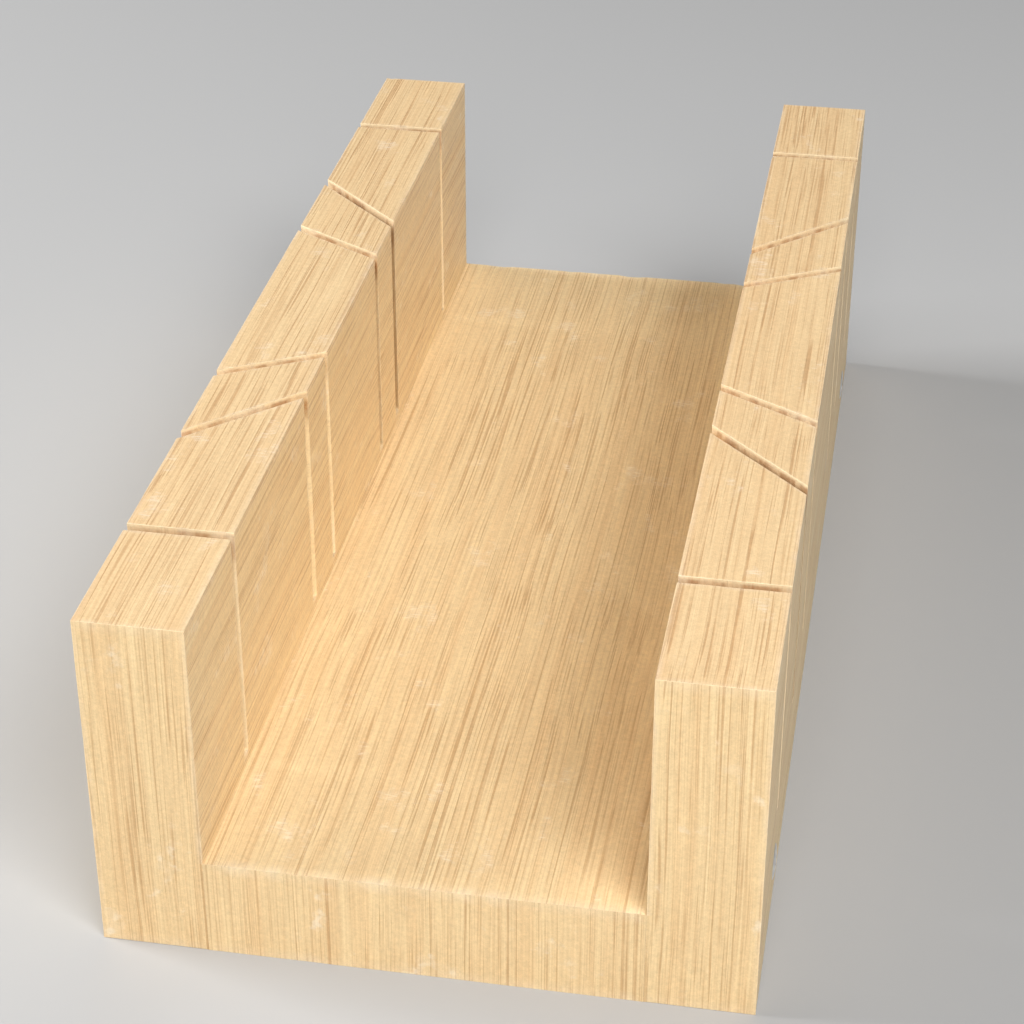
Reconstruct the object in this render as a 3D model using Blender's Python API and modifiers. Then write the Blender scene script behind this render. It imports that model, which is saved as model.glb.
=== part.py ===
"""Wooden miter box: a base board between two slotted side boards, held together by four wood screws.

Run it with blender --background --python part.py, or from the text editor. Units are metres.
+X runs across the trough, +Y along it and +Z up. The origin is the middle of the underside.
"""

import math

import bmesh
import bpy
from mathutils import Matrix, Vector

# The three boards
BOX_LENGTH = 0.250
BOX_WIDTH = 0.120
BOX_HEIGHT = 0.070
BOARD_THICKNESS = 0.020
EDGE_ROUND = 0.0005
EDGE_ROUND_SEGMENTS = 2
JOINT_GAP = 0.0003

# The saw slots
KERF_WIDTH = 0.0020
KERF_FLOOR = BOARD_THICKNESS + 0.002
SQUARE_CUT_OFFSET = 0.094
MITER_ANGLES = (45, -45, 30, -30)

# The wood screws, 3.5 x 40 mm with a raised countersunk head
SCREW_LENGTH = 0.040
SHANK_RADIUS = 0.00175
THREAD_LENGTH = 0.024
THREAD_PITCH = 0.0020
THREAD_CORE_RADIUS = 0.0012
TIP_LENGTH = 0.004
TIP_RADIUS = 0.0002
HEAD_RADIUS = 0.0035
HEAD_RIM = 0.0002
HEAD_RISE = 0.0004
RECESS_SPAN = 0.0038
RECESS_SLOT = 0.0009
RECESS_DEPTH = 0.0015
RECESS_TAPER = 0.6
CONE_DEPTH = HEAD_RADIUS - SHANK_RADIUS
THREAD_RIDGE_RADIUS = 0.98 * SHANK_RADIUS
THREAD_FLAT_SHARE = 0.45
THREAD_CREST_SHARE = 0.75
SPARE_TURNS = 4
SCREW_STEPS = 24
THREAD_STEPS = 12
DOME_STEPS = 5
SMOOTH_ANGLE = math.radians(35)

# The holes that the screws pass through
HOLE_GAP = 0.0003
HOLE_DEPTH_PAST_TIP = 0.0015
SCREW_HEIGHT = BOARD_THICKNESS / 2
SCREW_OFFSET = SQUARE_CUT_OFFSET

# Cutters reach this far past what they cut
CUT_MARGIN = 0.010
PLAIN_PART_RADIUS = 2 * HEAD_RADIUS
MERGE_DISTANCE = 0.00001

BEECH = (0.76, 0.55, 0.32)
BEECH_DARKER = (0.72, 0.51, 0.29)
BEECH_ROUGHNESS = 0.55
ZINC = (0.74, 0.75, 0.76)
ZINC_ROUGHNESS = 0.3


def clear_scene():
    for obj in list(bpy.data.objects):
        bpy.data.objects.remove(obj)


def new_collection(name):
    collection = bpy.data.collections.new(name)
    bpy.context.scene.collection.children.link(collection)
    return collection


def new_material(name, colour, roughness, metallic=0.0):
    material = bpy.data.materials.new(name)
    material.use_nodes = True
    shader = material.node_tree.nodes["Principled BSDF"]
    shader.inputs["Base Color"].default_value = (*colour, 1.0)
    shader.inputs["Roughness"].default_value = roughness
    shader.inputs["Metallic"].default_value = metallic
    material.diffuse_color = (*colour, 1.0)
    return material


def new_object(name, mesh, collection, material=None):
    obj = bpy.data.objects.new(name, mesh)
    collection.objects.link(obj)
    if material:
        mesh.materials.clear()
        mesh.materials.append(material)
    return obj


def mark_as_cutter(obj):
    obj.hide_render = True
    obj.display_type = "WIRE"
    return obj


def box_mesh(name, size):
    """A box of the given size, centred on the origin."""
    mesh = bpy.data.meshes.new(name)
    bm = bmesh.new()
    bmesh.ops.create_cube(bm, size=1.0, matrix=Matrix.Diagonal((*size, 1.0)))
    bm.to_mesh(mesh)
    bm.free()
    return mesh


def profile_mesh(name, points):
    """An open line of (radius, height) points in the XZ plane, ready for a Screw modifier."""
    mesh = bpy.data.meshes.new(name)
    edges = [(i, i + 1) for i in range(len(points) - 1)]
    mesh.from_pydata([(radius, 0.0, height) for radius, height in points], edges, [])
    return mesh


def turn(obj, steps, pitch=0.0, turns=1):
    """Turns the object's profile about Z, climbing by one pitch with each turn."""
    screw = obj.modifiers.new("turn", "SCREW")
    screw.axis = "Z"
    screw.angle = 2 * math.pi
    screw.screw_offset = pitch
    screw.iterations = turns
    screw.steps = steps
    screw.render_steps = steps
    screw.use_merge_vertices = True
    screw.merge_threshold = MERGE_DISTANCE


def combine(obj, other, operation, name):
    boolean = obj.modifiers.new(name, "BOOLEAN")
    boolean.operation = operation
    boolean.solver = "EXACT"
    boolean.object = other


def round_edges(obj):
    bevel = obj.modifiers.new("round_edges", "BEVEL")
    bevel.width = EDGE_ROUND
    bevel.segments = EDGE_ROUND_SEGMENTS
    bevel.limit_method = "ANGLE"


def baked_mesh(obj):
    """The object's mesh with its modifiers applied, its loose turns welded and its faces pointing out."""
    bpy.context.view_layer.update()
    graph = bpy.context.evaluated_depsgraph_get()
    mesh = bpy.data.meshes.new_from_object(obj.evaluated_get(graph))
    bm = bmesh.new()
    bm.from_mesh(mesh)
    bmesh.ops.remove_doubles(bm, verts=bm.verts, dist=MERGE_DISTANCE)
    bmesh.ops.recalc_face_normals(bm, faces=bm.faces)
    bm.to_mesh(mesh)
    bm.free()
    return mesh


def board(name, size, centre, collection, material):
    obj = new_object(name, box_mesh(name, size), collection, material)
    obj.location = centre
    round_edges(obj)
    return obj


def make_boards(collection):
    """The base board and, at its two long edges, the taller side boards."""
    side_x = (BOX_WIDTH - BOARD_THICKNESS) / 2
    base_width = BOX_WIDTH - 2 * (BOARD_THICKNESS + JOINT_GAP)
    side_size = (BOARD_THICKNESS, BOX_LENGTH, BOX_HEIGHT)
    base = board(
        "base_board",
        (base_width, BOX_LENGTH, BOARD_THICKNESS),
        (0, 0, BOARD_THICKNESS / 2),
        collection,
        new_material("base_board_beech", BEECH_DARKER, BEECH_ROUGHNESS),
    )
    sides = [
        board(
            f"{side}_side",
            side_size,
            (sign * side_x, 0, BOX_HEIGHT / 2),
            collection,
            new_material(f"{side}_side_beech", BEECH, BEECH_ROUGHNESS),
        )
        for side, sign in (("left", -1), ("right", 1))
    ]
    return base, sides


def saw_paths():
    """Name, angle away from a square cut, and where along the box each saw stroke crosses its middle."""
    for end, sign in (("front", -1), ("back", 1)):
        yield f"square_{end}", 0, sign * SQUARE_CUT_OFFSET
    for angle in MITER_ANGLES:
        hand = "right" if angle > 0 else "left"
        yield f"miter_{abs(angle)}_{hand}", angle, 0.0


def make_kerf_cutters(collection):
    """One thin slab for each saw stroke. It crosses both side boards, so that their slots lie in line."""
    height = BOX_HEIGHT + CUT_MARGIN - KERF_FLOOR
    cutters = []
    for name, angle, offset in saw_paths():
        length = (BOX_WIDTH + CUT_MARGIN) / math.cos(math.radians(angle))
        mesh = box_mesh(f"kerf_{name}", (length, KERF_WIDTH, height))
        cutter = mark_as_cutter(new_object(mesh.name, mesh, collection))
        cutter.location = (0, offset, KERF_FLOOR + height / 2)
        cutter.rotation_euler.z = math.radians(angle)
        cutters.append(cutter)
    return cutters


def screw_outline():
    """The screw's outer side, from the middle of the domed head down to the middle of the tip."""
    dome = [
        (
            HEAD_RADIUS * math.sin(step / DOME_STEPS * math.pi / 2),
            HEAD_RISE * math.cos(step / DOME_STEPS * math.pi / 2),
        )
        for step in range(DOME_STEPS + 1)
    ]
    return dome + [
        (HEAD_RADIUS, -HEAD_RIM),
        (SHANK_RADIUS, -HEAD_RIM - CONE_DEPTH),
        (SHANK_RADIUS, TIP_LENGTH - SCREW_LENGTH),
        (TIP_RADIUS, -SCREW_LENGTH),
        (0.0, -SCREW_LENGTH),
    ]


def hole_outline():
    """The screw's outline with clearance all round: countersink, straight bore and drilled point."""
    bore_radius = SHANK_RADIUS + HOLE_GAP
    mouth_radius = HEAD_RADIUS + HOLE_GAP
    cone_top = -HEAD_RIM - HOLE_GAP * (math.sqrt(2) - 1)
    return [
        (0.0, CUT_MARGIN),
        (mouth_radius, CUT_MARGIN),
        (mouth_radius, cone_top),
        (bore_radius, cone_top - CONE_DEPTH),
        (bore_radius, -SCREW_LENGTH),
        (0.0, -SCREW_LENGTH - HOLE_DEPTH_PAST_TIP),
    ]


def make_threaded_rod(collection):
    """A rod whose whole side is one helical ridge. It runs past the screw's thread at both ends."""
    turns = math.ceil(THREAD_LENGTH / THREAD_PITCH) + SPARE_TURNS
    one_turn = [
        (THREAD_CORE_RADIUS, 0.0),
        (THREAD_CORE_RADIUS, -THREAD_FLAT_SHARE * THREAD_PITCH),
        (THREAD_RIDGE_RADIUS, -THREAD_CREST_SHARE * THREAD_PITCH),
        (THREAD_CORE_RADIUS, -THREAD_PITCH),
    ]
    rod = new_object("thread_rod", profile_mesh("thread_rod", one_turn), collection)
    turn(rod, THREAD_STEPS, THREAD_PITCH, turns)
    rod.data = baked_mesh(rod)
    rod.modifiers.clear()
    bm = bmesh.new()
    bm.from_mesh(rod.data)
    open_edges = [edge for edge in bm.edges if edge.is_boundary]
    caps = bmesh.ops.holes_fill(bm, edges=open_edges)["faces"]
    for centre in bmesh.ops.poke(bm, faces=caps)["verts"]:
        centre.co.xy = (0.0, 0.0)
    bmesh.ops.recalc_face_normals(bm, faces=bm.faces)
    bm.to_mesh(rod.data)
    bm.free()
    rod.location.z = -SCREW_LENGTH - THREAD_PITCH
    return mark_as_cutter(rod)


def make_plain_part(collection):
    """The space round the head and the plain shank, where the screw has no thread."""
    mesh = bpy.data.meshes.new("plain_part")
    top = CUT_MARGIN
    bottom = THREAD_LENGTH - SCREW_LENGTH
    bm = bmesh.new()
    bmesh.ops.create_cone(
        bm,
        cap_ends=True,
        segments=SCREW_STEPS,
        radius1=PLAIN_PART_RADIUS,
        radius2=PLAIN_PART_RADIUS,
        depth=top - bottom,
        matrix=Matrix.Translation((0, 0, (top + bottom) / 2)),
    )
    bm.to_mesh(mesh)
    bm.free()
    return mark_as_cutter(new_object("plain_part", mesh, collection))


def make_recess_cutters(collection):
    """Two crossed slabs that narrow downwards, for the driver's cross recess."""
    cutters = []
    for turned in (0, 90):
        size = (RECESS_SPAN, RECESS_SLOT, 2 * RECESS_DEPTH)
        mesh = box_mesh(f"recess_{turned}", size)
        for vertex in mesh.vertices:
            taper = RECESS_TAPER if vertex.co.z < 0 else 2 - RECESS_TAPER
            vertex.co.xy = vertex.co.xy * taper
        cutter = mark_as_cutter(new_object(mesh.name, mesh, collection))
        cutter.rotation_euler.z = math.radians(turned)
        cutters.append(cutter)
    return cutters


def make_screw_mesh(cutters):
    """One wood screw along Z: its head's rim is at the origin and its tip points down."""
    threaded = make_threaded_rod(cutters)
    combine(threaded, make_plain_part(cutters), "UNION", "join_plain_part")
    outline = profile_mesh("wood_screw", screw_outline())
    screw = new_object("wood_screw", outline, cutters)
    turn(screw, SCREW_STEPS)
    combine(screw, threaded, "INTERSECT", "cut_thread")
    for recess in make_recess_cutters(cutters):
        combine(screw, recess, "DIFFERENCE", f"cut_{recess.name}")
    mesh = baked_mesh(screw)
    mesh.name = "wood_screw"
    mesh.shade_smooth()
    mesh.set_sharp_from_angle(angle=SMOOTH_ANGLE)
    bpy.data.objects.remove(screw)
    return mesh


def screw_places():
    """Name of each screw, its side's sign in X, and where its head's rim is."""
    for side, sign_x in (("left", -1), ("right", 1)):
        for end, sign_y in (("front", -1), ("back", 1)):
            rim = Vector((sign_x * BOX_WIDTH / 2, sign_y * SCREW_OFFSET, SCREW_HEIGHT))
            yield f"{side}_{end}", sign_x, rim


def make_screws(collection, cutters):
    """The four screws, which share one mesh, and a cutter for the hole that each one fills."""
    screw_mesh = make_screw_mesh(cutters)
    zinc = new_material("zinc_plated_steel", ZINC, ZINC_ROUGHNESS, metallic=1.0)
    holes = {"left": [], "right": []}
    for place, sign, rim in screw_places():
        screw = new_object(f"screw_{place}", screw_mesh, collection, zinc)
        hole = new_object(f"hole_{place}", profile_mesh("hole", hole_outline()), cutters)
        turn(hole, SCREW_STEPS)
        for obj in (screw, hole):
            obj.location = rim
            obj.rotation_euler.y = sign * math.pi / 2
        holes[place.split("_")[0]].append(mark_as_cutter(hole))
    return holes


def main():
    clear_scene()
    parts = new_collection("miter_box")
    cutters = new_collection("cutters")
    base, sides = make_boards(parts)
    holes = make_screws(parts, cutters)
    kerfs = make_kerf_cutters(cutters)
    for side, side_holes in zip(sides, holes.values()):
        for cutter in kerfs + side_holes:
            combine(side, cutter, "DIFFERENCE", f"cut_{cutter.name}")
    for cutter in holes["left"] + holes["right"]:
        combine(base, cutter, "DIFFERENCE", f"cut_{cutter.name}")


main()
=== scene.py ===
"""Looks of the wooden miter box: three planed beech boards with saw slots, and four zinc-plated wood screws.

Everything is in metres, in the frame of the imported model: +X across the trough, +Y along it, +Z up.
"""

import math
import random

import bmesh
import bpy
from mathutils import Matrix, Vector, noise


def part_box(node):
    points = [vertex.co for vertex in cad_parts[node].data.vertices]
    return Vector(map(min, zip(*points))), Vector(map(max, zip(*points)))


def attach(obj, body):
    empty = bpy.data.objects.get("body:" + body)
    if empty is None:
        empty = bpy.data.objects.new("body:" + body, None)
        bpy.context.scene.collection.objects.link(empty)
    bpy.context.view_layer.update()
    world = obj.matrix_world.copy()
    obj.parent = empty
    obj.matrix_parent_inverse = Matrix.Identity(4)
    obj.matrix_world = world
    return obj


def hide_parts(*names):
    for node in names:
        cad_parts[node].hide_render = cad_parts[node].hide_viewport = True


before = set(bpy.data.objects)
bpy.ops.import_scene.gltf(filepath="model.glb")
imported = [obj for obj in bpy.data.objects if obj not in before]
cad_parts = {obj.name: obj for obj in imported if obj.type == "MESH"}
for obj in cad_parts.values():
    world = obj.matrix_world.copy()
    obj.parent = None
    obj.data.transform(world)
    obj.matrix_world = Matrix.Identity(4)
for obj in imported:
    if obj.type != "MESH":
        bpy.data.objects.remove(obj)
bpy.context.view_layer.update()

# Boards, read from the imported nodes
SIDE_LOW, SIDE_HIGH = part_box("right_side")
SIDE_MIDDLE = (SIDE_LOW + SIDE_HIGH) / 2
BOX_LENGTH = SIDE_HIGH.y - SIDE_LOW.y
BOX_HEIGHT = SIDE_HIGH.z
TROUGH_HALF_WIDTH = SIDE_LOW.x
BED_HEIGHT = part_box("base_board")[1].z

# Saw slots, as the design has them
KERF_WIDTH = 0.0020
KERF_FLOOR = BED_HEIGHT + 0.002
SQUARE_CUT_OFFSET = 0.094
MITER_ANGLES = (45, -45, 30, -30)
CUT_MARGIN = 0.010

# Screws, which keep their own nodes, and the holes that they fill
SIDE_NAMES = {-1: "left", 1: "right"}
SCREW_ENDS = ("front", "back")
HEAD_RADIUS = 0.0035
HEAD_RIM = 0.0002
SHANK_RADIUS = 0.00175
SCREW_LENGTH = 0.040
HOLE_GAP = 0.00012
HOLE_STEPS = 48
TIP_ROOM = 0.0015

# The boards' surface: rounded arrises, a glued joint, and a grid for small unevenness
ARRIS_ROUND = 0.00028
ARRIS_SEGMENTS = 3
ARRIS_ANGLE = math.radians(25)
CREASE_ANGLE = math.radians(12)
SHARP_ANGLE = math.radians(50)
FLAT_ANGLE = math.radians(1)
GLUE_LINE = 0.00003
SIDE_GRID = (0.00125, 0.00125, 0.0025)
BASE_GRID = (0.0025, 0.0025, 0.0025)
NEAR = 0.00001

# Unevenness, always inwards: planing marks, wear on the arrises, most at the slots' mouths, and nicks
PLANING_DEPTH = 0.00004
PLANING_WAVES = 45
WEAR_DEPTH = 0.00006
MOUTH_WEAR_DEPTH = 0.00024
MOUTH_FACING = 0.2
WEAR_WAVES = 330
WEAR_LEAST = 0.4
NICK_COUNT = 14
NICK_DEPTH = (0.0001, 0.0003)
NICK_RADIUS = (0.0012, 0.0028)
NICK_LOWEST = 0.010

# Wood colours, linear, how far its grain wanders and how deep it can be felt
WOOD_PALE = (0.912, 0.716, 0.418, 1.0)
WOOD_WARM = (0.860, 0.590, 0.310, 1.0)
WOOD_DASH = (0.415, 0.192, 0.060, 1.0)
WOOD_SCUFF = (0.950, 0.840, 0.660, 1.0)
GRAIN_SWAY = 0.0020
GRAIN_RELIEF = 0.00012

# How strong each kind of mark is, how dark the first four get together, and their share in the slots
STREAK_SHARE = 0.09
FIBRE_SHARE = 0.25
LINE_SHARE = 0.50
HAIR_SHARE = 0.37
DARKEST = 0.54
SLOT_SHARE = 0.35
# Strength of the painted shade in the slots' mouths
SLOT_SHADE_SHARE = 0.80
WARM_SHARE = 0.38
SCUFF_SHARE = 0.62
WEAR_SHARE = 0.36

# Tones of the faces: tops darkened as painted shade, end grain a little yellower, and walls lightened as
# painted light
TOP_PAINTED_SHADE = (0.852, 0.800, 0.768, 1.0)
END_TONE = (1.0, 0.955, 0.895, 1.0)
WALL_PAINTED_LIGHT = (1.04, 1.06, 1.11, 1.0)

# How faces are told apart, by their normals and their distance from an edge
FACING_LIMIT = 0.93
SLOT_WALL_LIMIT = 0.30
SLOT_MASK_MARGIN = 0.001
END_LIMIT = BOX_LENGTH / 2 - SLOT_MASK_MARGIN

# Painted shade in the slots, darker with depth below the top: where it comes in, and where it fades out
SLOT_SHADE_TOP = (0.0002, 0.0009)
SLOT_SHADE_END = (0.003, 0.009)

# Zinc plate, the floor and the plain white of the sky
ZINC_DULL = (0.80, 0.81, 0.82, 1.0)
ZINC_BRIGHT = (0.95, 0.95, 0.93, 1.0)
ZINC_RELIEF = 0.00003
FLOOR_GREY = (0.43, 0.43, 0.43, 1.0)
FLOOR_REACH = 4.0
WHITE = (1.0, 1.0, 1.0, 1.0)

# Camera, by where it stands and the point on the bed that it looks at
CAMERA_PLACE = Vector((0.07677, -0.46715, 0.31081))
CAMERA_TARGET = Vector((-0.00658, 0.00397, 0.02000))
CAMERA_LENS = 89.77
SENSOR_WIDTH = 36.0

# Softboxes: degrees round from the front towards +X, degrees up, side in metres and power in watts
LIGHT_TARGET = Vector((0.0, 0.0, 0.03))
LIGHT_DISTANCE = 1.5
WORLD_STRENGTH = 0.03
SOFTBOXES = {
    "key": (10, 35, 0.6, 10.8),
    "side_key": (38, 46, 0.6, 14.9),
    "left": (-90, 28, 0.6, 25.5),
    "back": (180, 60, 0.6, 2.0),
}


class Nodes:
    """Short calls for building a shader node tree."""

    def __init__(self, material):
        material.use_nodes = True
        self.tree = material.node_tree
        self.shader = self.tree.nodes["Principled BSDF"]

    def add(self, kind, **settings):
        node = self.tree.nodes.new(kind)
        for name, value in settings.items():
            setattr(node, name, value)
        return node

    def feed(self, socket, value):
        if isinstance(value, bpy.types.NodeSocket):
            self.tree.links.new(value, socket)
        else:
            socket.default_value = value

    def math(self, operation, a, b=0.0, clamp=False):
        node = self.add("ShaderNodeMath", operation=operation, use_clamp=clamp)
        self.feed(node.inputs[0], a)
        self.feed(node.inputs[1], b)
        return node.outputs[0]

    def total(self, *parts):
        """The sum of (socket, weight) pairs."""
        result = 0.0
        for socket, weight in parts:
            result = self.math("ADD", self.math("MULTIPLY", socket, weight), result)
        return result

    def vector_math(self, operation, a, b):
        node = self.add("ShaderNodeVectorMath", operation=operation)
        self.feed(node.inputs[0], a)
        self.feed(node.inputs[1], b)
        return node.outputs[0]

    def split(self, vector):
        node = self.add("ShaderNodeSeparateXYZ")
        self.feed(node.inputs[0], vector)
        return node.outputs

    def join(self, x, y, z):
        node = self.add("ShaderNodeCombineXYZ")
        for socket, value in zip(node.inputs, (x, y, z)):
            self.feed(socket, value)
        return node.outputs[0]

    def noise(self, vector, frequency, detail=2.0, roughness=0.5):
        """Perlin noise of a vector, each part first multiplied by its frequency in cycles per metre."""
        node = self.add("ShaderNodeTexNoise")
        self.feed(node.inputs["Vector"], self.vector_math("MULTIPLY", vector, frequency))
        node.inputs["Scale"].default_value = 1.0
        node.inputs["Detail"].default_value = detail
        node.inputs["Roughness"].default_value = roughness
        return node.outputs[0]

    def ramp(self, value, low, high, to_low=0.0, to_high=1.0, smooth=True):
        node = self.add("ShaderNodeMapRange", clamp=True)
        node.interpolation_type = "SMOOTHSTEP" if smooth else "LINEAR"
        self.feed(node.inputs["Value"], value)
        self.feed(node.inputs["From Min"], low)
        self.feed(node.inputs["From Max"], high)
        self.feed(node.inputs["To Min"], to_low)
        self.feed(node.inputs["To Max"], to_high)
        return node.outputs[0]

    def blend(self, factor, a, b, kind="RGBA", blend_type="MIX"):
        node = self.add("ShaderNodeMix", data_type=kind)
        if kind == "RGBA":
            node.blend_type = blend_type
            slots = (node.inputs[0], node.inputs[6], node.inputs[7])
            out = node.outputs[2]
        else:
            slots = (node.inputs[0], node.inputs[2], node.inputs[3])
            out = node.outputs[0]
        for socket, value in zip(slots, (factor, a, b)):
            self.feed(socket, value)
        return out

    def bump(self, height, strength, distance):
        node = self.add("ShaderNodeBump")
        node.inputs["Strength"].default_value = strength
        node.inputs["Distance"].default_value = distance
        self.feed(node.inputs["Height"], height)
        self.feed(self.shader.inputs["Normal"], node.outputs[0])


def grain_coordinates(nodes, offset):
    """A vector whose X and Y run across the fibres and whose Z runs along them, and the place itself.

    The fibres run along the board, except on its two end faces, where the streaks stand upright.
    """
    place = nodes.add("ShaderNodeTexCoord").outputs["Object"]
    place = nodes.vector_math("ADD", place, offset)
    x, y, z = nodes.split(place)
    facing = nodes.split(nodes.add("ShaderNodeNewGeometry").outputs["True Normal"])
    on_end = nodes.math("GREATER_THAN", nodes.math("ABSOLUTE", facing[1]), FACING_LIMIT)
    along = nodes.blend(on_end, y, z, kind="FLOAT")
    across = nodes.blend(on_end, z, y, kind="FLOAT")
    straight = nodes.join(x, across, along)
    sway = nodes.noise(straight, (40, 40, 14), detail=1.0)
    sway = nodes.math("MULTIPLY", nodes.math("SUBTRACT", sway, 0.5), GRAIN_SWAY)
    return nodes.vector_math("ADD", straight, nodes.join(sway, sway, 0.0)), place


def face_masks(nodes):
    """Masks of the saw slots' walls and of painted shade at their mouths, and the tones of three kinds of
    face.
    """
    place = nodes.split(nodes.add("ShaderNodeTexCoord").outputs["Object"])
    facing = nodes.split(nodes.add("ShaderNodeNewGeometry").outputs["True Normal"])
    along = nodes.math("ABSOLUTE", facing[1])
    between_ends = nodes.math("LESS_THAN", nodes.math("ABSOLUTE", place[1]), END_LIMIT)
    in_slot = nodes.math("MULTIPLY", nodes.math("GREATER_THAN", along, SLOT_WALL_LIMIT), between_ends)
    depth = nodes.math("SUBTRACT", BOX_HEIGHT, place[2])
    # Painted shade: the slot walls get darker with depth below the top, standing in for the shade deep in a
    # slot
    mouth = nodes.math("MULTIPLY", nodes.ramp(depth, *SLOT_SHADE_TOP), nodes.ramp(depth, *SLOT_SHADE_END, 1.0, 0.0))
    mouth = nodes.math("MULTIPLY", in_slot, mouth)
    on_end = nodes.math("SUBTRACT", nodes.math("GREATER_THAN", along, FACING_LIMIT), in_slot, clamp=True)
    on_top = nodes.math("GREATER_THAN", facing[2], FACING_LIMIT)
    on_top = nodes.math("MULTIPLY", on_top, nodes.math("LESS_THAN", depth, SLOT_MASK_MARGIN))
    on_wall = nodes.math("GREATER_THAN", nodes.math("ABSOLUTE", facing[0]), FACING_LIMIT)
    # The tops get painted shade and the walls painted light; the end faces' yellower tone is the wood's own
    return in_slot, mouth, ((on_top, TOP_PAINTED_SHADE), (on_end, END_TONE), (on_wall, WALL_PAINTED_LIGHT))


def wood_material(name, offset):
    """Planed beech: streaks of every width, brown lines in groups, warm bands, scuffs; painted shade in the
    slot mouths and on the tops, painted light on the walls.
    """
    material = bpy.data.materials.new(name)
    nodes = Nodes(material)
    grain, place = grain_coordinates(nodes, offset)
    in_slot, mouth, tones_and_painted_light = face_masks(nodes)

    streaks = nodes.noise(grain, (430, 430, 4), detail=3.0, roughness=0.75)
    fibres = nodes.noise(grain, (2500, 2500, 26), detail=1.0, roughness=1.0)
    lines = nodes.noise(grain, (2400, 2400, 7), detail=0.0)
    hairs = nodes.noise(grain, (3400, 3400, 11), detail=0.0)
    breaks = nodes.noise(grain, (700, 700, 55), detail=2.0, roughness=0.6)
    groups = nodes.noise(grain, (170, 170, 6), detail=2.0)
    bands = nodes.noise(grain, (240, 240, 4), detail=3.0, roughness=0.6)
    mottle = nodes.noise(place, (900, 900, 900), detail=3.0, roughness=1.0)
    blotches = nodes.noise(place, (120, 80, 120), detail=4.0, roughness=0.65)
    ticks = nodes.noise(place, (420, 2100, 420), detail=1.0)
    shade_blotches = nodes.noise(place, (430, 430, 160), detail=2.0)

    in_group = nodes.ramp(groups, 0.34, 0.64, 0.55, 0.90)
    broken = nodes.math("MULTIPLY", in_group, nodes.ramp(breaks, 0.36, 0.56, 0.40, 1.0))
    line_mask = nodes.math("MULTIPLY", nodes.ramp(lines, 0.63, 0.72), broken)
    hair_mask = nodes.math("MULTIPLY", nodes.ramp(hairs, 0.57, 0.72), broken)
    fibre_mask = nodes.ramp(fibres, 0.30, 0.75, smooth=False)
    streak_mask = nodes.ramp(streaks, 0.40, 0.80, smooth=False)
    dark = nodes.total(
        (streak_mask, STREAK_SHARE),
        (fibre_mask, FIBRE_SHARE),
        (line_mask, LINE_SHARE),
        (hair_mask, HAIR_SHARE),
    )
    dark = nodes.math("MINIMUM", dark, DARKEST)
    dark = nodes.math("MULTIPLY", dark, nodes.ramp(in_slot, 0.0, 1.0, 1.0, SLOT_SHARE))
    # Painted shade at the slots' mouths, broken up into blotches
    painted_slot_shade = nodes.math("MULTIPLY", mouth, nodes.ramp(shade_blotches, 0.40, 0.64, 0.40, 1.0))
    dark = nodes.total((dark, 1.0), (painted_slot_shade, SLOT_SHADE_SHARE))

    colour = nodes.blend(nodes.ramp(bands, 0.40, 0.72, 0.0, WARM_SHARE), WOOD_PALE, WOOD_WARM)
    colour = nodes.blend(dark, colour, WOOD_DASH)
    worn = nodes.ramp(blotches, 0.58, 0.70)
    ticked = nodes.math("MULTIPLY", worn, nodes.ramp(ticks, 0.48, 0.66, 0.25, 1.0))
    wear = nodes.add("ShaderNodeAttribute", attribute_name="wear").outputs["Fac"]
    ticked = nodes.math("MULTIPLY", ticked, SCUFF_SHARE)
    rubbed = nodes.math("MULTIPLY", wear, WEAR_SHARE)
    colour = nodes.blend(nodes.math("MAXIMUM", ticked, rubbed), colour, WOOD_SCUFF)
    shade = nodes.ramp(mottle, 0.25, 0.75, 0.86, 1.10, smooth=False)
    colour = nodes.blend(1.0, colour, nodes.join(shade, shade, shade), blend_type="MULTIPLY")
    # Face tones: painted shade on the tops, painted light on the walls, and the end grain's own yellower tone
    for mask, tone in tones_and_painted_light:
        colour = nodes.blend(mask, colour, tone, blend_type="MULTIPLY")
    nodes.feed(nodes.shader.inputs["Base Color"], colour)

    nodes.feed(nodes.shader.inputs["Roughness"], nodes.ramp(streaks, 0.3, 0.7, 0.50, 0.64))
    nodes.shader.inputs["Specular IOR Level"].default_value = 0.35
    height = nodes.total((line_mask, -0.7), (hair_mask, -0.4), (mottle, 0.9), (streaks, 0.5))
    nodes.bump(height, 0.55, GRAIN_RELIEF)
    return material


def steel_material(name):
    """Bright zinc plate with a faint cloudiness and fine handling marks."""
    material = bpy.data.materials.new(name)
    nodes = Nodes(material)
    place = nodes.add("ShaderNodeTexCoord").outputs["Object"]
    clouds = nodes.noise(place, (900, 900, 900), detail=3.0)
    scratches = nodes.noise(place, (9000, 1500, 5000), detail=2.0)
    colour = nodes.blend(nodes.ramp(clouds, 0.35, 0.7), ZINC_DULL, ZINC_BRIGHT)
    nodes.feed(nodes.shader.inputs["Base Color"], colour)
    nodes.shader.inputs["Metallic"].default_value = 1.0
    nodes.feed(nodes.shader.inputs["Roughness"], nodes.ramp(clouds, 0.3, 0.7, 0.28, 0.44))
    nodes.bump(scratches, 0.25, ZINC_RELIEF)
    return material


def mesh_object(name, bm):
    mesh = bpy.data.meshes.new(name)
    bm.to_mesh(mesh)
    bm.free()
    obj = bpy.data.objects.new(name, mesh)
    bpy.context.scene.collection.objects.link(obj)
    return obj


def add_box(bm, size, centre, turned=0.0):
    """A box in the bmesh, turned about Z by an angle in degrees."""
    matrix = Matrix.Translation(centre) @ Matrix.Rotation(math.radians(turned), 4, "Z")
    bmesh.ops.create_cube(bm, size=1.0, matrix=matrix @ Matrix.Diagonal((*size, 1.0)))


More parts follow.
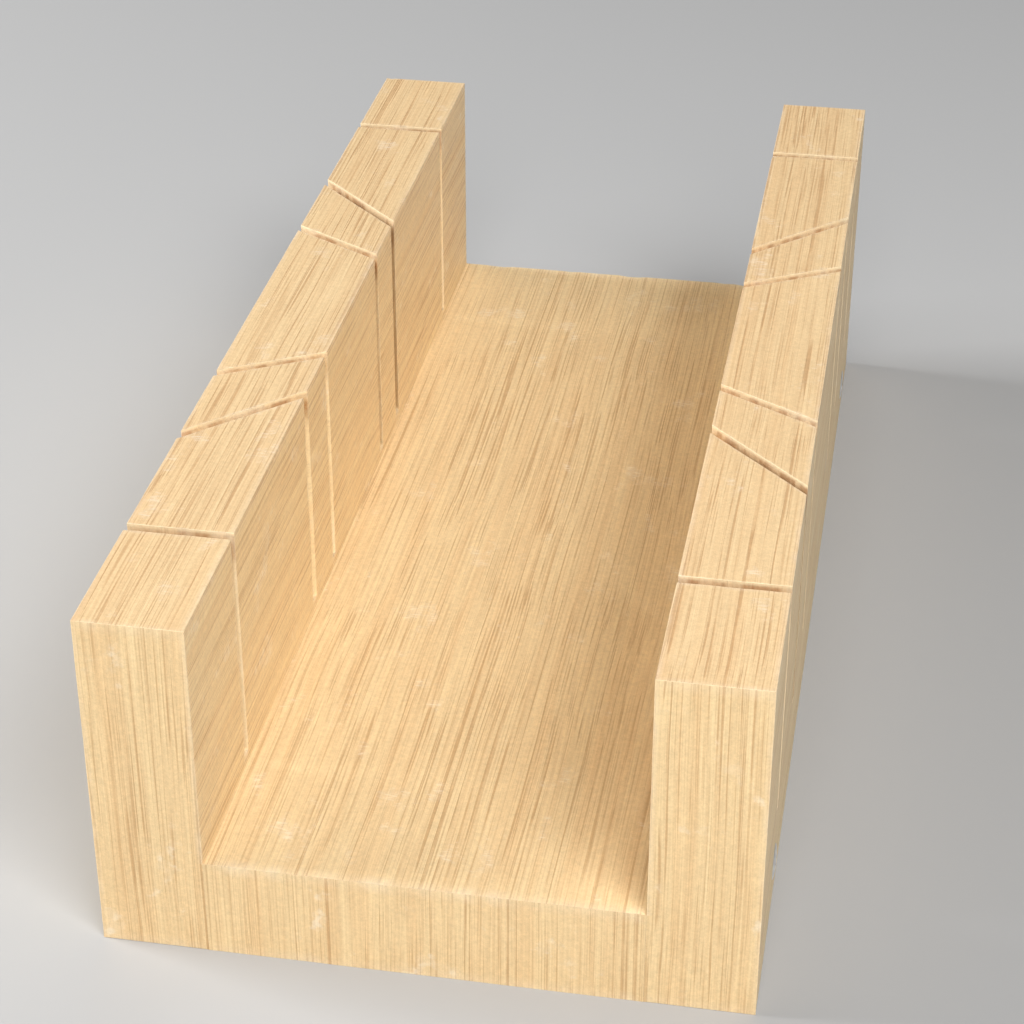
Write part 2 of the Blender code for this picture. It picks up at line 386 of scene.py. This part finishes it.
def add_turned(bm, outline, steps, matrix):
    """A solid turned about its own Z. Its outline of (radius, height) points starts and ends on that axis."""
    head, *rims, foot = outline
    top = bm.verts.new(matrix @ Vector((0, 0, head[1])))
    tip = bm.verts.new(matrix @ Vector((0, 0, foot[1])))
    rings = []
    for radius, height in rims:
        turns = [2 * math.pi * step / steps for step in range(steps)]
        points = [Vector((radius * math.cos(turn), radius * math.sin(turn), height)) for turn in turns]
        rings.append([bm.verts.new(matrix @ point) for point in points])
    for i in range(steps):
        j = (i + 1) % steps
        bm.faces.new((top, rings[0][i], rings[0][j]))
        for upper, lower in zip(rings, rings[1:]):
            bm.faces.new((upper[i], lower[i], lower[j], upper[j]))
        bm.faces.new((tip, rings[-1][j], rings[-1][i]))


def saw_paths():
    """The angle away from a square cut, and where along the box each saw stroke crosses its middle."""
    for sign in (-1, 1):
        yield 0, sign * SQUARE_CUT_OFFSET
    for angle in MITER_ANGLES:
        yield angle, 0.0


def kerf_cutter(side):
    """The six saw strokes, as thin slabs that only reach one side board, so that they never meet."""
    bm = bmesh.new()
    height = BOX_HEIGHT + CUT_MARGIN - KERF_FLOOR
    for angle, offset in saw_paths():
        slope = math.radians(angle)
        length = (SIDE_HIGH.x - SIDE_LOW.x + CUT_MARGIN / 2) / math.cos(slope)
        middle = side * SIDE_MIDDLE.x
        centre = (middle, offset + middle * math.tan(slope), KERF_FLOOR + height / 2)
        add_box(bm, (length, KERF_WIDTH, height), centre, angle)
    return mesh_object("kerf_cutter", bm)


def hole_outline():
    """The screw's outline with clearance all round: countersink, straight bore and drilled point."""
    mouth = HEAD_RADIUS + HOLE_GAP
    bore = SHANK_RADIUS + HOLE_GAP
    cone_top = -HEAD_RIM - HOLE_GAP * (math.sqrt(2) - 1)
    return [
        (0.0, CUT_MARGIN),
        (mouth, CUT_MARGIN),
        (mouth, cone_top),
        (bore, cone_top - (mouth - bore)),
        (bore, -SCREW_LENGTH),
        (0.0, -SCREW_LENGTH - TIP_ROOM),
    ]


def screw_rims(side):
    """Where each screw of a side passes through the outer face, from the boxes of the screws' nodes."""
    rims = []
    for end in SCREW_ENDS:
        low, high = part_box(f"screw_{SIDE_NAMES[side]}_{end}")
        middle = (low + high) / 2
        rims.append(Vector((side * SIDE_HIGH.x, middle.y, middle.z)))
    return rims


def hole_cutter(side):
    bm = bmesh.new()
    for rim in RIMS[side]:
        turned = Matrix.Rotation(side * math.pi / 2, 4, "Y")
        add_turned(bm, hole_outline(), HOLE_STEPS, Matrix.Translation(rim) @ turned)
    return mesh_object("hole_cutter", bm)


def cut(obj, *cutters):
    """Takes the cutters out of the object, and removes them."""
    for cutter in cutters:
        boolean = obj.modifiers.new("cut", "BOOLEAN")
        boolean.operation = "DIFFERENCE"
        boolean.solver = "EXACT"
        boolean.object = cutter
    graph = bpy.context.evaluated_depsgraph_get()
    mesh = bpy.data.meshes.new_from_object(obj.evaluated_get(graph))
    obj.modifiers.clear()
    obj.data = mesh
    for cutter in cutters:
        bpy.data.objects.remove(cutter)


def on_joint(vert):
    """True where a side board meets the base board, on lines that stay sharp so that the joint closes."""
    off_plane = abs(abs(vert.co.x) - TROUGH_HALF_WIDTH)
    return off_plane < 2 * GLUE_LINE and vert.co.z < BED_HEIGHT + NEAR


def at_hole(vert):
    """True where a screw's head is, which keeps its countersink round."""
    beside = min(math.hypot(vert.co.y - rim.y, vert.co.z - rim.z) for rim in RIMS[1])
    return beside < HEAD_RADIUS + 4 * HOLE_GAP


def slice_mesh(bm, place, normal):
    geom = bm.verts[:] + bm.edges[:] + bm.faces[:]
    bmesh.ops.bisect_plane(bm, geom=geom, dist=NEAR / 10, plane_co=place, plane_no=normal)


def round_arrises(bm):
    """Rounds every sharp edge but those of the joint and the screw holes."""
    slice_mesh(bm, (0, 0, BED_HEIGHT), (0, 0, 1))
    chosen = []
    for edge in bm.edges:
        ends = edge.verts
        if edge.calc_face_angle(0) < ARRIS_ANGLE or all(on_joint(v) for v in ends):
            continue
        if any(at_hole(v) for v in ends):
            continue
        chosen.append(edge)
    bmesh.ops.bevel(
        bm,
        geom=chosen,
        offset=ARRIS_ROUND,
        segments=ARRIS_SEGMENTS,
        profile=0.5,
        affect="EDGES",
        clamp_overlap=True,
    )


def slice_into_grid(bm, low, high, grid):
    """Cuts the faces into a grid fine enough for small unevenness."""
    for axis in (1, 0, 2):
        normal = Vector((axis == 0, axis == 1, axis == 2))
        steps = round((high[axis] - low[axis]) / grid[axis])
        for step in range(1, steps):
            slice_mesh(bm, low.lerp(high, step / steps), normal)


def roughen(bm, seed):
    """Planing marks, wear on the arrises, most at the slots' mouths, and nicks. Marks the worn places."""
    bm.normal_update()
    dice = random.Random(seed)
    wear = bm.verts.layers.float.new("wear")
    moves = {}
    arrises = []
    for vert in bm.verts:
        if on_joint(vert) or at_hole(vert):
            continue
        waves = noise.noise(vert.co * PLANING_WAVES + Vector((seed, 0, 0)))
        depth = PLANING_DEPTH * (0.5 + 0.5 * waves)
        if any(edge.calc_face_angle(0) > CREASE_ANGLE for edge in vert.link_edges):
            rubbed = max(0.0, noise.noise(vert.co * WEAR_WAVES + Vector((0, seed, 0))))
            at_mouth = abs(vert.normal.y) > MOUTH_FACING and abs(vert.co.y) < END_LIMIT
            depth += (MOUTH_WEAR_DEPTH if at_mouth else WEAR_DEPTH) * rubbed
            vert[wear] = WEAR_LEAST + rubbed
            arrises.append(vert)
        moves[vert] = depth
    upper = [vert for vert in arrises if vert.co.z > NICK_LOWEST]
    for centre in dice.sample(upper, NICK_COUNT):
        reach = dice.uniform(*NICK_RADIUS)
        deep = dice.uniform(*NICK_DEPTH)
        inwards = -centre.normal
        for vert in arrises:
            share = 1 - (vert.co - centre.co).length / reach
            if share > 0 and vert.normal.dot(centre.normal) > 0:
                moves[vert] += deep * share * share * abs(vert.normal.dot(inwards))
                vert[wear] = 1.0
    for vert, depth in moves.items():
        vert.co -= vert.normal * depth


def finish_wood(obj, grid, seed):
    """Rounded arrises, a fine grid, unevenness inside the board's box, and shading that keeps faces flat."""
    bm = bmesh.new()
    bm.from_mesh(obj.data)
    bmesh.ops.remove_doubles(bm, verts=bm.verts, dist=NEAR / 10)
    bmesh.ops.dissolve_limit(bm, angle_limit=FLAT_ANGLE, verts=bm.verts, edges=bm.edges)
    low = Vector(map(min, *(v.co for v in bm.verts)))
    high = Vector(map(max, *(v.co for v in bm.verts)))
    round_arrises(bm)
    slice_into_grid(bm, low, high, grid)
    roughen(bm, seed)
    # The middle one of low, coordinate and high is the coordinate held inside the box
    for vert in bm.verts:
        vert.co = [sorted(values)[1] for values in zip(low, vert.co, high)]
    bm.to_mesh(obj.data)
    bm.free()
    obj.data.shade_smooth()
    obj.data.set_sharp_from_angle(angle=SHARP_ANGLE)
    normals = obj.modifiers.new("flat_faces", "WEIGHTED_NORMAL")
    normals.keep_sharp = True


def make_side(side, material, seed):
    name = SIDE_NAMES[side]
    bm = bmesh.new()
    add_box(bm, SIDE_HIGH - SIDE_LOW, (side * SIDE_MIDDLE.x, SIDE_MIDDLE.y, SIDE_MIDDLE.z))
    obj = mesh_object(f"{name}_board", bm)
    cut(obj, kerf_cutter(side), hole_cutter(side))
    finish_wood(obj, SIDE_GRID, seed)
    obj.data.materials.append(material)
    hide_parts(f"{name}_side")
    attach(obj, "root")


def make_base(material, seed):
    bm = bmesh.new()
    width = 2 * (TROUGH_HALF_WIDTH - GLUE_LINE)
    add_box(bm, (width, BOX_LENGTH, BED_HEIGHT), (0, 0, BED_HEIGHT / 2))
    obj = mesh_object("base_plank", bm)
    cut(obj, hole_cutter(-1), hole_cutter(1))
    finish_wood(obj, BASE_GRID, seed)
    obj.data.materials.append(material)
    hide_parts("base_board")
    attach(obj, "root")


def dress_screws(material):
    """The screws' own nodes have the right shape, and get a better material."""
    for name in SIDE_NAMES.values():
        for end in SCREW_ENDS:
            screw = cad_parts[f"screw_{name}_{end}"]
            screw.data.materials.clear()
            screw.data.materials.append(material)


def make_floor():
    bm = bmesh.new()
    bmesh.ops.create_grid(bm, x_segments=1, y_segments=1, size=FLOOR_REACH)
    floor = mesh_object("floor", bm)
    material = bpy.data.materials.new("floor")
    nodes = Nodes(material)
    nodes.shader.inputs["Base Color"].default_value = FLOOR_GREY
    nodes.shader.inputs["Roughness"].default_value = 0.9
    floor.data.materials.append(material)


def make_softbox(name, around, up, size, power):
    light = bpy.data.lights.new(name, "AREA")
    light.shape = "SQUARE"
    light.size = size
    light.energy = power
    obj = bpy.data.objects.new(name, light)
    bpy.context.scene.collection.objects.link(obj)
    around = math.radians(around)
    up = math.radians(up)
    towards = Vector((math.sin(around) * math.cos(up), -math.cos(around) * math.cos(up), math.sin(up)))
    obj.location = LIGHT_TARGET + LIGHT_DISTANCE * towards
    obj.rotation_euler = towards.to_track_quat("Z", "Y").to_euler()
    return obj


def make_lights():
    for name, (around, up, size, power) in SOFTBOXES.items():
        make_softbox(f"{name}_softbox", around, up, size, power)
    world = bpy.data.worlds.new("studio")
    world.use_nodes = True
    background = world.node_tree.nodes["Background"]
    background.inputs["Color"].default_value = WHITE
    background.inputs["Strength"].default_value = WORLD_STRENGTH
    bpy.context.scene.world = world


def make_camera():
    data = bpy.data.cameras.new("camera")
    data.sensor_width = SENSOR_WIDTH
    data.lens = CAMERA_LENS
    camera = bpy.data.objects.new("camera", data)
    bpy.context.scene.collection.objects.link(camera)
    camera.location = CAMERA_PLACE
    camera.rotation_euler = (CAMERA_TARGET - CAMERA_PLACE).to_track_quat("-Z", "Y").to_euler()
    bpy.context.scene.camera = camera


RIMS = {side: screw_rims(side) for side in SIDE_NAMES}
bpy.context.scene.view_settings.view_transform = "Standard"
make_camera()
make_lights()
make_floor()
make_side(-1, wood_material("left_beech", (0.013, 0.407, 0.221)), 3)
make_side(1, wood_material("right_beech", (0.371, 0.129, 0.093)), 5)
make_base(wood_material("base_beech", (0.171, 0.733, 0.537)), 7)
dress_screws(steel_material("zinc_plate"))
